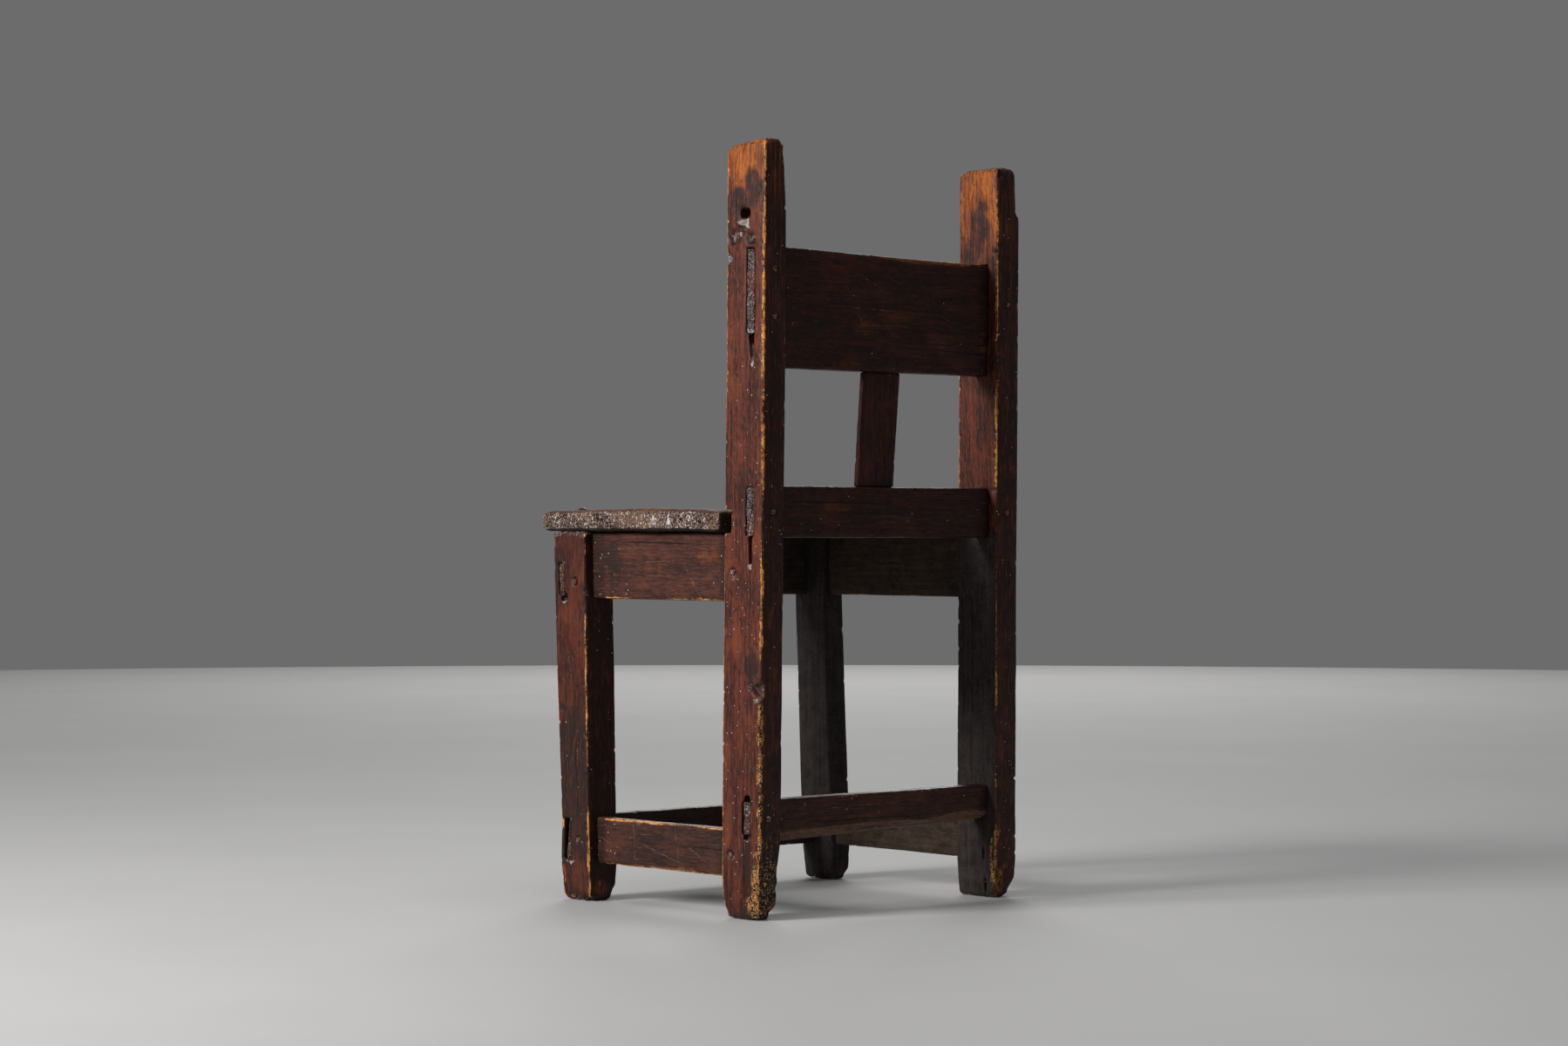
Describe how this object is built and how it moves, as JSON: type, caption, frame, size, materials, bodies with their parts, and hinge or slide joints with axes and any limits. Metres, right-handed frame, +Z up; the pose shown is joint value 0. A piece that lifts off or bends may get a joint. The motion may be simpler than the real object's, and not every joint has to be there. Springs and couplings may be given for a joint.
{
  "type": "child's chair",
  "caption": "Small joined child's chair in dark-stained wood: square rear posts, board crest rail, splat back, plank seat and box stretchers, with pegged mortise-and-tenon joints.",
  "frame": {"origin": "on the floor, in the middle of the chair's width and depth", "axes": "+Z up, the sitter faces -Y and has +X on the left hand"},
  "size_m": [0.2944, 0.2738, 0.603],
  "materials": {
    "post_wood": "worn red-brown stain, ochre at the arrises",
    "back_wood": "dark red-brown stain with a blackened patina",
    "rail_wood": "worn red-brown stain, dry on the inner faces",
    "seat_wood": "rubbed grey-brown wood with remains of stain and paint",
    "peg_wood": "worn end grain",
    "nail_iron": "dark forged iron"
  },
  "bodies": {
    "root": {"back_splat": "back_wood", "back_stretcher": "rail_wood", "back_stretcher_peg_left": "peg_wood", "back_stretcher_peg_right": "peg_wood", "crest_peg_left_lower": "peg_wood", "crest_peg_left_upper": "peg_wood", "crest_peg_right": "peg_wood", "crest_rail": "back_wood", "front_seat_rail": "rail_wood", "front_seat_rail_peg_left": "peg_wood", "front_seat_rail_peg_right": "peg_wood", "front_stretcher": "rail_wood", "front_stretcher_peg_left": "peg_wood", "front_stretcher_peg_right": "peg_wood", "left_front_leg": "post_wood", "left_rear_post": "post_wood", "left_seat_rail": "rail_wood", "left_seat_rail_peg_front": "peg_wood", "left_seat_rail_peg_rear": "peg_wood", "left_stretcher": "rail_wood", "left_stretcher_peg_front": "peg_wood", "left_stretcher_peg_rear": "peg_wood", "lower_back_rail": "back_wood", "lower_back_rail_peg_left": "peg_wood", "lower_back_rail_peg_right": "peg_wood", "right_front_leg": "post_wood", "right_rear_post": "post_wood", "right_seat_rail": "rail_wood", "right_seat_rail_peg_front": "peg_wood", "right_seat_rail_peg_rear": "peg_wood", "right_stretcher": "rail_wood", "right_stretcher_peg_front": "peg_wood", "right_stretcher_peg_rear": "peg_wood", "seat_board": "seat_wood", "seat_nail_left": "nail_iron", "seat_nail_right": "nail_iron"}
  },
  "joints": []
}
